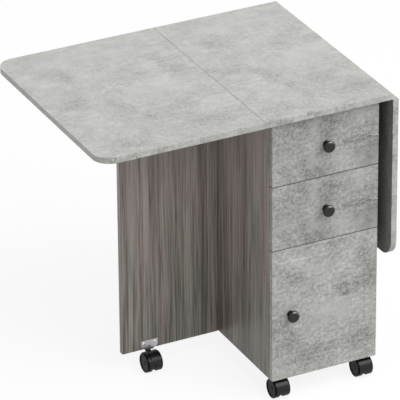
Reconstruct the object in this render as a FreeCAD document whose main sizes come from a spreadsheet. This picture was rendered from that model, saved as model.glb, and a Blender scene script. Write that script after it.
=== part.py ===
import FreeCAD, Part
import os
import Sketcher
from FreeCAD import Placement, Rotation, Vector

# Folding dining table: a narrow cabinet on casters under a fixed centre top, with a drop leaf and a
# swing-out gate on each side. The left leaf is raised on its gate and the right leaf hangs down.
# Lengths are in millimetres. X runs along the table, Y from the drawer side to the back, Z up.
# The origin is on the floor, under the middle of the table as it stands here.

doc = FreeCAD.newDocument("FoldingTable")

SIZES = {
    # The table as a whole
    "table_height": 773,
    "board": 15,
    "top_depth": 600,
    "leaf_length": 429,
    "leaf_corner": 65,
    "seam": 1,
    # The cabinet
    "cabinet_width": 287,
    "front_setback": 19,
    "back_setback": 19,
    "front_gap": 3,
    "top_reveal": 2,
    "reveal": 3,
    "drawer_front_height": 169,
    "stretcher_depth": 60,
    # The drawer boxes
    "drawer_wall": 12,
    "drawer_back_room": 82,
    "drawer_head_room": 24,
    "drawer_foot_room": 16,
    "base_sheet": 3,
    "base_lift": 8,
    "base_groove": 5,
    "groove_play": 0.2,
    # The drawer runners
    "slide_space": 13,
    "slide_height": 35,
    "slide_sheet": 1.2,
    "slide_flange": 11,
    "slide_play": 0.3,
    "slide_setback": 2,
    "slide_tail": 15,
    # The knobs
    "knob_diameter": 30,
    "knob_neck": 17,
    "knob_reach": 24,
    "knob_head": 8.5,
    "knob_flare": 2,
    "knob_bevel": 3.2,
    "knob_round": 0.7,
    "door_knob_inset": 49,
    # The gates
    "gate_reach": 265,
    "gate_face": 7,
    "gate_gap": 1.5,
    "gate_top_gap": 3,
    "folded_gate_room": 4.5,
    # The leaf hinges
    "leaf_hinge_length": 60,
    "leaf_hinge_margin": 3,
    "leaf_hinge_pitch": 220,
    "leaf_pivot_drop": 0.5,
    "leaf_knuckle": 2,
    # The gate hinges
    "gate_hinge_length": 50,
    "gate_hinge_width": 20,
    "gate_hinge_inset": 90,
    "gate_pivot_offset": 2.5,
    "gate_knuckle": 2.2,
    # What all butt hinges share
    "hinge_sheet": 1.2,
    "hinge_pin": 1.1,
    "pin_play": 0.05,
    "knuckle_gap": 0.3,
    "knuckle_room": 0.5,
    # The concealed door hinges
    "door_hinge_inset": 70,
    "door_pivot_edge": 6.6,
    "door_pivot_depth": 7.5,
    "arm_sheet": 2,
    "arm_width": 8,
    "arm_length": 45,
    "arm_foot": 24,
    "door_eye": 2.3,
    "door_pin": 1.2,
    "cup_wall": 0.8,
    "cup_room": 0.6,
    "cup_flange": 14,
    "cup_flange_height": 24,
    # The casters
    "wheel_diameter": 50,
    "wheel_width": 14,
    "wheel_gap": 0.5,
    "wheel_dish": 1.6,
    "wheel_rim": 4.5,
    "wheel_round": 1.8,
    "wheel_cap": 12,
    "axle_diameter": 6,
    "axle_end": 4,
    "caster_body": 13,
    "turret_step": 0.6,
    "turret_head": 5,
    "caster_trail": 18,
    "caster_headroom": 7,
    "caster_sheet": 2,
    "caster_plate": 38,
    "caster_plate_corner": 5,
    "plate_hole": 4.5,
    "plate_hole_inset": 6,
    "collar_diameter": 14,
    "collar_height": 3.5,
    "swivel_gap": 0.3,
    "stem_diameter": 7,
    "stem_length": 15,
    "hood_width": 34,
    "hood_gap": 0.7,
    "hood_wall": 1.6,
    "hood_start": 42,
    "hood_span": 158,
    "web_radius": 17,
    "front_caster_side": 28.5,
    "front_caster_end": 22,
    "rear_caster_x": 62,
    "rear_caster_end": 40,
    # The brake levers on the gate casters
    "lever_width": 20,
    "lever_sheet": 1.8,
    "lever_play": 0.3,
    "lever_start": 98,
    "lever_span": 46,
    "lever_rod": 1.9,
    "lever_lip": 2.2,
    "lever_lip_span": 6,
    "slot_width": 3.5,
    "slot_height": 7,
    "slot_depth": 2.5,
    # The caster brackets on the gates
    "bracket_width": 45,
    "bracket_height": 25,
    "bracket_foot": 22,
    "bracket_ear": 8,
    "bracket_inset": 73,
    "bracket_hole_pitch": 30,
    "bracket_hole_height": 18,
    "bracket_window": 6,
    "bracket_window_lift": 4,
}

# Places that follow from the sizes. They are measured from the middle of the cabinet.
PLACES = {
    "overhang": "2 * Size.gate_pivot_offset + Size.board + Size.caster_sheet + Size.folded_gate_room",
    "top_half": "Size.cabinet_width / 2 + Place.overhang",
    "middle_x": "(Size.leaf_length + Size.seam / 2 - Size.board - Size.leaf_pivot_drop) / 2",
    "middle_y": "max(0; Size.knob_reach - Size.front_setback) / 2",
    "top_under": "Size.table_height - Size.board",
    "bottom": "Size.wheel_diameter + Size.caster_headroom",
    "side_face": "Size.cabinet_width / 2",
    "side_inner": "Place.side_face - Size.board",
    "front_face": "Size.front_setback - Size.top_depth / 2",
    "carcass_front": "Place.front_face + Size.board + Size.front_gap",
    "carcass_back": "Size.top_depth / 2 - Size.back_setback",
    "carcass_height": "Place.top_under - Place.bottom",
    "upper_drawer_z": "Place.top_under - Size.top_reveal - Size.drawer_front_height",
    "lower_drawer_z": "Place.upper_drawer_z - Size.reveal - Size.drawer_front_height",
    "door_height": "Place.lower_drawer_z - Size.reveal - Place.bottom",
    "divider_z": "Place.lower_drawer_z - Size.reveal / 2 - Size.board / 2",
    "drawer_half": "Place.side_inner - Size.slide_space",
    "drawer_inner": "Place.drawer_half - Size.drawer_wall",
    "drawer_end": "Place.carcass_back - Size.board - Size.drawer_back_room - Place.front_face",
    "drawer_low": "Size.board / 2 - Size.reveal / 2 + Size.drawer_foot_room",
    "drawer_base_z": "Place.drawer_low + Size.base_lift",
    "drawer_base_top": "Place.drawer_base_z + Size.base_sheet",
    "drawer_top": "Size.drawer_front_height + Size.top_reveal - Size.board - Size.drawer_head_room",
    "slide_z": "(Place.drawer_low + Place.drawer_top) / 2",
    "slide_start": "Size.board + Size.front_gap + Size.slide_setback",
    "slide_end": "Place.drawer_end - Size.slide_tail",
    "leaf_pivot_x": "Place.top_half + Size.seam / 2",
    "leaf_pivot_z": "Place.top_under - Size.leaf_pivot_drop",
    "leaf_groove": "Size.leaf_knuckle + Size.knuckle_room",
    "leaf_hinge_width": "Place.leaf_pivot_x - Place.side_face - Place.leaf_groove - Size.leaf_hinge_margin",
    "gate_pivot_x": "Place.side_face + Size.gate_pivot_offset",
    "gate_pivot_y": "Size.gate_face + Size.board + Size.gate_pivot_offset",
    "gate_length": "Size.gate_reach - Size.gate_gap",
    "gate_height": "Place.carcass_height - Size.gate_top_gap",
    "gate_middle_z": "Place.bottom + Place.gate_height / 2",
    "gate_hinge_pitch": "Place.gate_height / 2 - Size.gate_hinge_inset",
    "folded_gate_x": "Place.side_face + 2 * Size.gate_pivot_offset",
    "folded_gate_y": "Place.gate_pivot_y + Size.gate_gap - Size.gate_pivot_offset",
    "gate_stem_out": "Size.gate_reach - Size.bracket_inset",
    "door_pivot_x": "Place.side_face - Size.door_pivot_edge",
    "door_pivot_y": "Place.front_face + Size.board - Size.door_pivot_depth",
    "door_arm_x": "Size.board - Size.door_pivot_edge",
    "cup_left": "Place.door_arm_x + Size.arm_sheet + Size.cup_room",
    "cup_right": "Size.door_eye + Size.cup_room",
    "cup_half": "Size.arm_width / 2 + Size.cup_room",
    "axle_z": "Size.wheel_diameter / 2",
    "plate_under": "Place.bottom - Size.caster_sheet",
    "turret_top": "Place.plate_under - Size.collar_height - Size.swivel_gap",
    "hood_inner": "Place.axle_z + Size.hood_gap",
    "hood_outer": "Place.hood_inner + Size.hood_wall",
    "wheel_inside": "Size.caster_body / 2 + Size.wheel_gap",
    "wheel_outside": "Place.wheel_inside + Size.wheel_width",
    "lever_inner": "Place.hood_outer + Size.lever_play",
    "lever_outer": "Place.lever_inner + Size.lever_sheet",
    "lever_pivot": "Place.lever_inner + Size.lever_sheet / 2",
    "lever_pivot_y": "Place.lever_pivot * cos(Size.lever_start * 1deg) - Size.caster_trail",
    "lever_pivot_z": "Place.lever_pivot * sin(Size.lever_start * 1deg) + Place.axle_z",
}


def fill_sheet(name, cells):
    """Makes a sheet with one named cell for each entry."""
    sheet = doc.addObject("Spreadsheet::Sheet", name)
    for row, (alias, content) in enumerate(cells.items(), 1):
        sheet.set(f"A{row}", alias)
        sheet.set(f"B{row}", content)
        sheet.setAlias(f"B{row}", alias)
    return sheet


size_sheet = fill_sheet("Size", {alias: str(number) for alias, number in SIZES.items()})
fill_sheet("Place", {alias: "=" + formula.replace("Place.", "") for alias, formula in PLACES.items()})
doc.recompute()

nodes = []
ALONG_X = Rotation(Vector(1, 1, 1), 120)  # turns the Z axis to X, X to Y and Y to Z
ALONG_Y = Rotation(Vector(1, 0, 0), -90)  # turns the Z axis to Y


def value(expression):
    """The present number that an expression gives."""
    return float(size_sheet.evalExpression(expression))


def bind(thing, **links):
    """Ties properties of an object to expressions."""
    for name, expression in links.items():
        thing.setExpression(name, expression)


def locate(thing, x="0", y="0", z="0", turn=Rotation()):
    """Turns an object and ties its position to expressions."""
    thing.Placement = Placement(Vector(), turn)
    for axis, expression in (("x", x), ("y", y), ("z", z)):
        thing.setExpression(f"Placement.Base.{axis}", expression)
    return thing


def box(name, spans):
    """A block from (low, high) expressions along X, Y and Z."""
    block = doc.addObject("Part::Box", name)
    lengths = [f"({high}) - ({low})" for low, high in spans]
    bind(block, Length=lengths[0], Width=lengths[1], Height=lengths[2])
    return locate(block, *[low for low, high in spans])


def rod(name, radius, low, high, turn=Rotation(), at=("0", "0")):
    """A cylinder that stands on Z, or is turned to X or Y, between two stations on its axis."""
    cylinder = doc.addObject("Part::Cylinder", name)
    bind(cylinder, Radius=radius, Height=f"({high}) - ({low})")
    if turn == ALONG_X:
        return locate(cylinder, low, at[0], at[1], turn)
    if turn == ALONG_Y:
        return locate(cylinder, at[0], low, at[1], turn)
    return locate(cylinder, at[0], at[1], low)


def disc_sector(name, radius, width, start, span):
    """A slice of a disc about the wheel axle. Angles run from +Y up over the wheel to -Y."""
    turn = Rotation(Vector(1, 0, 0), value(start)) * ALONG_X
    sector = doc.addObject("Part::Cylinder", name)
    bind(sector, Radius=radius, Height=width, Angle=span)
    return locate(sector, f"-({width}) / 2", "-Size.caster_trail", "Place.axle_z", turn)


def ring_sector(name, inner, outer, width, start, span):
    """A curved strip about the wheel axle, with its angles as in a disc sector."""
    axle = ("-Size.caster_trail", "Place.axle_z")
    hollow = rod(f"{name}_hollow", inner, *centred(f"({width}) / 2"), ALONG_X, axle)
    return cut(name, disc_sector(f"{name}_slice", outer, width, start, span), [hollow])


def group(name, pieces):
    """Several objects as one."""
    compound = doc.addObject("Part::Compound", name)
    compound.Links = pieces
    return compound


def fuse(name, pieces, refine=True):
    """Several objects joined into one solid."""
    joined = doc.addObject("Part::MultiFuse", name)
    joined.Shapes = pieces
    joined.Refine = refine
    return joined


def cut(name, base, tools, refine=True):
    """One object with others taken away."""
    rest = doc.addObject("Part::Cut", name)
    rest.Base = base
    rest.Tool = tools[0] if len(tools) == 1 else group(f"{name}_tools", tools)
    rest.Refine = refine
    return rest


def copy_at(piece, x="0", y="0", z="0", turn=Rotation()):
    """A repeat of a piece in another place."""
    return locate(group(f"{piece.Name}_copy", [piece]), x, y, z, turn)


def node(label, pieces, x="0", y="0", z="0", turn=Rotation()):
    """A finished sub-part of the table, placed from the middle of the cabinet."""
    part = group(label, pieces)
    part.Label = label
    locate(part, f"Place.middle_x + ({x})", f"Place.middle_y + ({y})", z, turn)
    nodes.append(part)


def mirrored(low, high):
    """The same span on the other side of zero."""
    return f"-({high})", f"-({low})"


def centred(half):
    """A span that reaches as far on each side of zero."""
    return f"-({half})", half


def profile(body, plane_role, corners):
    """A closed outline whose corners are tied to pairs of expressions."""
    sketch = body.newObject("Sketcher::SketchObject", f"{body.Name}_sketch")
    plane = next(feature for feature in body.Origin.OriginFeatures if feature.Role == plane_role)
    sketch.AttachmentSupport = (plane, [""])
    sketch.MapMode = "FlatFace"
    points = [Vector(value(across), value(along), 0) for across, along in corners]
    count = len(points)
    for index in range(count):
        sketch.addGeometry(Part.LineSegment(points[index], points[(index + 1) % count]))
    for index in range(count):
        sketch.addConstraint(Sketcher.Constraint("Coincident", index, 2, (index + 1) % count, 1))
    for index, corner in enumerate(corners):
        for kind, axis, expression in zip(("DistanceX", "DistanceY"), (-2, -1), corner):
            if expression == "0":
                sketch.addConstraint(Sketcher.Constraint("PointOnObject", index, 1, axis))
                continue
            number = sketch.addConstraint(Sketcher.Constraint(kind, index, 1, value(expression)))
            sketch.renameConstraint(number, f"{kind}{index}")
            sketch.setExpression(f"Constraints.{kind}{index}", expression)
    return sketch


def pad(body, sketch, length, symmetric=False):
    """Gives an outline a thickness."""
    feature = body.newObject("PartDesign::Pad", f"{body.Name}_pad")
    feature.Profile = sketch
    feature.SideType = "Symmetric" if symmetric else "One side"
    feature.setExpression("Length", length)
    return feature


def turned(name, plane_role, axis, corners):
    """A body turned about an axis of its sketch."""
    body = doc.addObject("PartDesign::Body", name)
    sketch = profile(body, plane_role, corners)
    feature = body.newObject("PartDesign::Revolution", f"{name}_turn")
    feature.Profile = sketch
    feature.ReferenceAxis = (sketch, [axis])
    feature.Angle = 360
    doc.recompute()
    return body, feature


def round_edges(body, feature, radius, wanted):
    """Rounds the edges of a feature that a test picks out."""
    doc.recompute()
    names = [f"Edge{index}" for index, edge in enumerate(feature.Shape.Edges, 1) if wanted(edge)]
    rounding = body.newObject("PartDesign::Fillet", f"{body.Name}_round")
    rounding.Base = (feature, names)
    rounding.setExpression("Radius", radius)
    return rounding


def butt_hinge_half(name, length, width, offset, knuckle, ends):
    """Half a butt hinge with its pivot on Z. The plate lies on a face at Y = -offset and runs to +X.
    It carries the two end knuckles, or the one between them."""
    clear = f"{knuckle} + Size.knuckle_room"
    face = (f"-{offset}", f"Size.hinge_sheet - {offset}")
    whole = centred(f"{length} / 2")
    joint = f"{length} / 6"
    if ends:
        spans = [(joint, f"{length} / 2"), mirrored(joint, f"{length} / 2")]
    else:
        spans = [centred(f"{joint} - Size.knuckle_gap")]
    pieces = [box(f"{name}_leaf", [(clear, f"{clear} + {width}"), face, whole])]
    for number, span in enumerate(spans):
        pieces.append(box(f"{name}_tongue{number}", [("0", clear), face, span]))
        pieces.append(rod(f"{name}_knuckle{number}", knuckle, *span))
    bore = rod(f"{name}_bore", "Size.hinge_pin + Size.pin_play", *whole)
    return cut(name, fuse(f"{name}_blank", pieces), [bore])


# Hinge halves and pins, each about its own pivot
leaf_hinge = (
    "Size.leaf_hinge_length", "Place.leaf_hinge_width", "Size.leaf_pivot_drop", "Size.leaf_knuckle",
)
gate_hinge = (
    "Size.gate_hinge_length", "Size.gate_hinge_width", "Size.gate_pivot_offset", "Size.gate_knuckle",
)
leaf_plate = butt_hinge_half("leaf_plate", *leaf_hinge, ends=True)
leaf_flap = butt_hinge_half("leaf_flap", *leaf_hinge, ends=False)
gate_plate = butt_hinge_half("gate_plate", *gate_hinge, ends=True)
gate_flap = butt_hinge_half("gate_flap", *gate_hinge, ends=False)
leaf_pin = rod("leaf_pin", "Size.hinge_pin", *centred("Size.leaf_hinge_length / 2"))
gate_pin = rod("gate_pin", "Size.hinge_pin", *centred("Size.gate_hinge_length / 2"))

LEFT = Vector(-1, 0, 0)
RIGHT = Vector(1, 0, 0)
FRONT = Vector(0, -1, 0)
BACK = Vector(0, 1, 0)
DOWN = Vector(0, 0, -1)
UP = Vector(0, 0, 1)


def laid(plate, face):
    """The turn of a hinge half whose plate runs one way from the pivot, with its board the other way."""
    return Rotation(plate, -face, plate.cross(-face), "XYZ")


def leaf_row(piece, turn):
    """Three leaf hinge pieces along the seam."""
    return [copy_at(piece, y=f"{step} * Size.leaf_hinge_pitch", turn=turn) for step in (-1, 0, 1)]


def gate_row(piece, turn):
    """Three gate hinge pieces up the gate."""
    return [copy_at(piece, z=f"{step} * Place.gate_hinge_pitch", turn=turn) for step in (-1, 0, 1)]


def hinge_sets():
    """The fixed hinge halves, the pins and the moving halves of both leaves and both gates."""
    leaf_left = ("-Place.leaf_pivot_x", "0", "Place.leaf_pivot_z")
    leaf_right = ("Place.leaf_pivot_x", "0", "Place.leaf_pivot_z")
    gate_left = ("-Place.gate_pivot_x", "Place.gate_pivot_y", "Place.gate_middle_z")
    gate_right = ("Place.gate_pivot_x", "Place.gate_pivot_y", "Place.gate_middle_z")

    def at(pieces, spot):
        return locate(group("row", pieces), *spot)

    node("leaf_hinge_plates", [
        at(leaf_row(leaf_plate, laid(RIGHT, UP)), leaf_left),
        at(leaf_row(leaf_plate, laid(LEFT, UP)), leaf_right),
    ])
    node("leaf_hinge_pins", [at(leaf_row(leaf_pin, ALONG_Y), spot) for spot in (leaf_left, leaf_right)])
    node("gate_hinge_plates", [
        at(gate_row(gate_plate, laid(BACK, RIGHT)), gate_left),
        at(gate_row(gate_plate, laid(BACK, LEFT)), gate_right),
    ])
    node("gate_hinge_pins", [at(gate_row(gate_pin, Rotation()), spot) for spot in (gate_left, gate_right)])
    node("left_leaf_hinge_flaps", leaf_row(leaf_flap, laid(LEFT, UP)), *leaf_left)
    node("right_leaf_hinge_flaps", leaf_row(leaf_flap, laid(DOWN, RIGHT)), *leaf_right)
    node("left_gate_hinge_flaps", gate_row(gate_flap, laid(LEFT, FRONT)), *gate_left)
    node("right_gate_hinge_flaps", gate_row(gate_flap, laid(BACK, RIGHT)), *gate_right)


def hinge_grooves(name):
    """The round grooves that let the leaf knuckles into the edges of two boards."""
    reach = "Size.leaf_hinge_length / 2 + Size.knuckle_room"
    groove = rod(name, "Place.leaf_groove", *centred(reach))
    return group(f"{name}_row", leaf_row(groove, ALONG_Y))


def cabinet():
    """The fixed boards: two sides, bottom, back, divider, stretchers and the centre top."""
    across = centred("Place.side_inner")
    along = ("Place.carcass_front", "Place.carcass_back")
    inside = ("Place.carcass_front", "Place.carcass_back - Size.board")
    upright = ("Place.bottom", "Place.top_under")
    wall = ("Place.side_inner", "Place.side_face")
    shelf = ("Place.divider_z", "Place.divider_z + Size.board")
    rail = ("Place.top_under - Size.board", "Place.top_under")
    node("left_side_panel", [box("left_side", [mirrored(*wall), along, upright])])
    node("right_side_panel", [box("right_side", [wall, along, upright])])
    floor = ("Place.bottom", "Place.bottom + Size.board")
    node("bottom_panel", [box("bottom_board", [across, along, floor])])
    back = (inside[1], along[1])
    node("back_panel", [box("back_board", [across, back, (floor[1], upright[1])])])
    node("divider_shelf", [box("divider_board", [across, inside, shelf])])
    front_rail = (inside[0], f"{inside[0]} + Size.stretcher_depth")
    rear_rail = (f"{inside[1]} - Size.stretcher_depth", inside[1])
    node("top_stretchers", [
        box("front_stretcher", [across, front_rail, rail]),
        box("rear_stretcher", [across, rear_rail, rail]),
    ])
    thick = ("Place.top_under", "Size.table_height")
    slab = box("top_slab", [centred("Place.top_half"), centred("Size.top_depth / 2"), thick])
    grooves = [
        copy_at(hinge_grooves("left_groove"), x="-Place.leaf_pivot_x", z="Place.leaf_pivot_z"),
        copy_at(hinge_grooves("right_groove"), x="Place.leaf_pivot_x", z="Place.leaf_pivot_z"),
    ]
    node("centre_top", [cut("top_board", slab, grooves)])


def leaves():
    """Both drop leaves, from one board about its pivot, with rounded outer corners."""
    body = doc.addObject("PartDesign::Body", "leaf_body")
    near = "Size.seam / 2"
    far = "Size.seam / 2 + Size.leaf_length"
    half = "Size.top_depth / 2"
    outline = profile(body, "XY_Plane", [(near, f"-{half}"), (far, f"-{half}"), (far, half), (near, half)])
    board = pad(body, outline, "Size.board")

    def outer_corner(edge):
        ends = [vertex.Point for vertex in edge.Vertexes]
        return all(abs(end.x - value(far)) < 0.01 for end in ends) and abs(ends[0].z - ends[1].z) > 1

    round_edges(body, board, "Size.leaf_corner", outer_corner)
    locate(body, z="Size.leaf_pivot_drop")
    leaf = cut("leaf_board", body, [hinge_grooves("leaf_groove")])
    half_turn = Rotation(Vector(0, 0, 1), 180)
    hanging = Rotation(Vector(0, 1, 0), 90)
    node("left_leaf_board", [leaf], "-Place.leaf_pivot_x", "0", "Place.leaf_pivot_z", half_turn)
    node("right_leaf_board", [leaf], "Place.leaf_pivot_x", "0", "Place.leaf_pivot_z", hanging)


def gates():
    """The left gate stands out under its leaf. The right gate is folded along the cabinet."""
    upright = ("Place.bottom", "Place.bottom + Place.gate_height")
    out = mirrored("Place.side_face + Size.gate_gap", "Place.side_face + Size.gate_reach")
    thick = ("Size.gate_face", "Size.gate_face + Size.board")
    node("left_gate_panel", [box("left_gate", [out, thick, upright])])
    node("right_gate_panel", [box("right_gate", [
        ("Place.folded_gate_x", "Place.folded_gate_x + Size.board"),
        ("Place.folded_gate_y", "Place.folded_gate_y + Place.gate_length"),
        upright,
    ])])


def runner(name, web, web_inner, tip, half):
    """A channel along Y: an upright web with a flange above and below that reach to the tip."""
    body = doc.addObject("PartDesign::Body", name)
    inner = f"{half} - Size.slide_sheet"
    outline = profile(body, "XZ_Plane", [
        (tip, half),
        (web, half),
        (web, f"-({half})"),
        (tip, f"-({half})"),
        (tip, f"-({inner})"),
        (web_inner, f"-({inner})"),
        (web_inner, inner),
        (tip, inner),
    ])
    pad(body, outline, "Place.slide_end - Place.slide_start").Reversed = True
    return locate(body, y="Place.slide_start")


def drawers():
    """Two like drawers. Their pieces are measured from the front's outer face and lower edge."""
    depth = ("Size.board", "Place.drawer_end")
    tall = ("Place.drawer_low", "Place.drawer_top")
    wall = ("Place.drawer_inner", "Place.drawer_half")
    sheet = ("Place.drawer_base_z", "Place.drawer_base_top")
    groove_half = "Place.drawer_inner + Size.base_groove"
    groove_start = "Size.board - Size.base_groove"
    groove = [centred(groove_half), (groove_start, depth[1]), sheet]
    face = [centred("Place.side_face"), ("0", "Size.board"), ("0", "Size.drawer_front_height")]
    front = cut("drawer_front", box("front_blank", face), [box("front_groove", groove)])
    sides_blank = group("sides_blank", [
        box("left_wall", [mirrored(*wall), depth, tall]),
        box("right_wall", [wall, depth, tall]),
    ])
    sides = cut("drawer_sides", sides_blank, [box("side_groove", groove)])
    back = box("drawer_back", [
        centred("Place.drawer_inner"),
        (f"{depth[1]} - Size.drawer_wall", depth[1]),
        (sheet[1], tall[1]),
    ])
    floor = box("drawer_base", [
        centred(f"{groove_half} - Size.groove_play"),
        (f"{groove_start} + Size.groove_play", depth[1]),
        sheet,
    ])
    rail = runner(
        "drawer_rail", "Place.drawer_half", "Place.drawer_half + Size.slide_sheet",
        "Place.drawer_half + Size.slide_flange", "Size.slide_height / 2 - Size.slide_sheet - Size.slide_play",
    )
    channel = runner(
        "cabinet_rail", "Place.side_inner", "Place.side_inner - Size.slide_sheet",
        "Place.side_inner - Size.slide_flange", "Size.slide_height / 2",
    )

    def pair(piece):
        other = doc.addObject("Part::Mirroring", f"{piece.Name}_mirror")
        other.Source = piece
        other.Normal = Vector(1, 0, 0)
        return locate(group(f"{piece.Name}_pair", [piece, other]), z="Place.slide_z")

    rails = pair(rail)
    channels = pair(channel)
    for level in ("upper", "lower"):
        spot = ("0", "Place.front_face", f"Place.{level}_drawer_z")
        node(f"{level}_drawer_front", [front], *spot)
        node(f"{level}_drawer_sides", [sides], *spot)
        node(f"{level}_drawer_back", [back], *spot)
        node(f"{level}_drawer_base", [floor], *spot)
        node(f"{level}_drawer_rails", [rails], *spot)
    node("cabinet_runners", [
        copy_at(channels, "0", "Place.front_face", "Place.upper_drawer_z"),
        copy_at(channels, "0", "Place.front_face", "Place.lower_drawer_z"),
    ])


def knobs():
    """A mushroom knob with a bevelled face for each drawer and for the door."""
    neck = "Size.knob_neck / 2"
    rim = "Size.knob_diameter / 2"
    face = f"{rim} - Size.knob_bevel"
    under = "Size.knob_reach - Size.knob_head"
    body, shape = turned("knob", "XY_Plane", "V_Axis", [
        ("0", "0"),
        (neck, "0"),
        (neck, f"-({under} - Size.knob_flare)"),
        (rim, f"-({under})"),
        (rim, "-(Size.knob_reach - Size.knob_bevel)"),
        (face, "-Size.knob_reach"),
        ("0", "-Size.knob_reach"),
    ])

    def head_edge(edge):
        return edge.BoundBox.XMax > value(face) - 0.01 and len(edge.Vertexes) == 1

    round_edges(body, shape, "Size.knob_round", head_edge)
    middle = "Size.drawer_front_height / 2"
    node("upper_drawer_knob", [body], "0", "Place.front_face", f"Place.upper_drawer_z + {middle}")
    node("lower_drawer_knob", [body], "0", "Place.front_face", f"Place.lower_drawer_z + {middle}")
    left = "Size.door_knob_inset - Place.side_face"
    node("door_knob", [body], left, "Place.front_face", "Place.bottom + Place.door_height / 2")


def door():
    """The door and its two concealed hinges, each about a pin inside the door's thickness."""
    spot = ("Place.door_pivot_x", "Place.door_pivot_y", "Place.bottom + Place.door_height / 2")
    step = "(Place.door_height / 2 - Size.door_hinge_inset)"
    levels = [f"-{step}", step]
    inside = "Size.door_pivot_depth"
    outer = [
        ("-(Place.cup_left + Size.cup_wall)", "Place.cup_right + Size.cup_wall"),
        ("-(Place.cup_right + Size.cup_wall)", inside),
        centred("Place.cup_half + Size.cup_wall"),
    ]
    inner = [
        ("-Place.cup_left", "Place.cup_right"),
        ("-Place.cup_right", inside),
        centred("Place.cup_half"),
    ]
    flange = [
        (f"{outer[0][0]} - Size.cup_flange", inner[0][0]),
        (inside, f"{inside} + Size.cup_wall"),
        centred("Size.cup_flange_height / 2"),
    ]
    pin = rod("door_pin", "Size.door_pin", *outer[2])
    cup_blank = fuse("cup_blank", [box("cup_outer", outer), box("cup_plate", flange)])
    cup = cut("door_cup", cup_blank, [box("cup_inner", inner), rod("cup_bore", "Size.door_pin", *outer[2])])

    sheet = mirrored("Place.door_arm_x", "Place.door_arm_x + Size.arm_sheet")
    neck = centred("Size.arm_sheet / 2")
    strap = centred("Size.arm_width / 2")
    rear = f"{inside} + Size.front_gap + Size.arm_length"
    arm_blank = fuse("arm_blank", [
        box("arm_strap", [sheet, (neck[0], rear), strap]),
        box("arm_neck", [(sheet[0], "0"), neck, strap]),
        rod("arm_eye", "Size.door_eye", *strap),
        box("arm_foot", [sheet, (f"{rear} - Size.arm_foot / 2", rear), centred("Size.arm_foot / 2")]),
    ])
    arm = cut("door_arm", arm_blank, [rod("arm_bore", "Size.door_pin + Size.pin_play", *strap)])

    panel = box("door_blank", [
        ("-Place.side_face - Place.door_pivot_x", "Size.door_pivot_edge"),
        (f"{inside} - Size.board", inside),
        centred("Place.door_height / 2"),
    ])
    mortise = box("door_mortise", outer)
    mortises = [copy_at(mortise, z=level) for level in levels]
    node("door_panel", [cut("door_board", panel, mortises)], *spot)
    node("door_hinge_cups", [copy_at(cup, z=level) for level in levels], *spot)
    node("door_hinge_pins", [copy_at(pin, z=level) for level in levels], *spot)
    node("door_hinge_arms", [copy_at(arm, z=level) for level in levels], *spot)


def caster_stem(name):
    """The collar and the pin that every caster turns on."""
    collar_low = "Place.plate_under - Size.collar_height"
    return [
        rod(f"{name}_collar", "Size.collar_diameter / 2", collar_low, "Place.plate_under"),
        rod(f"{name}_pin", "Size.stem_diameter / 2", f"{collar_low} - Size.stem_length", collar_low),
    ]


def caster_plate():
    """A square plate with rounded corners and four screw holes."""
    body = doc.addObject("PartDesign::Body", "caster_plate")
    half = "Size.caster_plate / 2"
    corners = [(f"-{half}", f"-{half}"), (half, f"-{half}"), (half, half), (f"-{half}", half)]
    plate = pad(body, profile(body, "XY_Plane", corners), "Size.caster_sheet")

    def upright(edge):
        return edge.BoundBox.ZLength > edge.BoundBox.DiagonalLength / 2

    round_edges(body, plate, "Size.caster_plate_corner", upright)
    locate(body, z="Place.plate_under")
    inset = f"({half} - Size.plate_hole_inset)"
    spots = [(f"{across}{inset}", f"{along}{inset}") for across in ("", "-") for along in ("", "-")]
    thick = ("Place.plate_under", "Place.bottom")
    holes = [rod("plate_hole", "Size.plate_hole / 2", *thick, at=spot) for spot in spots]
    return cut("drilled_plate", body, holes)


def gate_bracket():
    """A bent plate on the face and the lower edge of a gate, with a stem under the gate's middle."""
    face = "Size.board / 2"
    top = "Place.bottom + Size.bracket_height"
    ear = "Place.bottom + Size.bracket_ear"
    foot = "Size.bracket_foot / 2"
    wide = "Size.bracket_width / 2"
    body = doc.addObject("PartDesign::Body", "bracket_plate")
    outline = profile(body, "XZ_Plane", [
        (f"-{foot}", "Place.plate_under"),
        (foot, "Place.plate_under"),
        (wide, ear),
        (wide, top),
        (f"-{wide}", top),
        (f"-{wide}", ear),
    ])
    pad(body, outline, "Size.caster_sheet")
    locate(body, y=f"-{face}")
    sheet = (f"-{face} - Size.caster_sheet", f"-{face}")
    flange = box("bracket_flange", [centred(foot), (sheet[0], face), ("Place.plate_under", "Place.bottom")])
    level = "Place.bottom + Size.bracket_hole_height"
    spots = centred("Size.bracket_hole_pitch / 2")
    holes = [rod("bracket_hole", "Size.plate_hole / 2", *sheet, ALONG_Y, (spot, level)) for spot in spots]
    sill = "Place.bottom + Size.bracket_window_lift"
    opening = (sill, f"{sill} + Size.bracket_window")
    window = box("bracket_window", [centred("Size.bracket_window / 2"), sheet, opening])
    blank = fuse("bracket_blank", [body, flange] + caster_stem("bracket"))
    return cut("bracket", blank, holes + [window])


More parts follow.
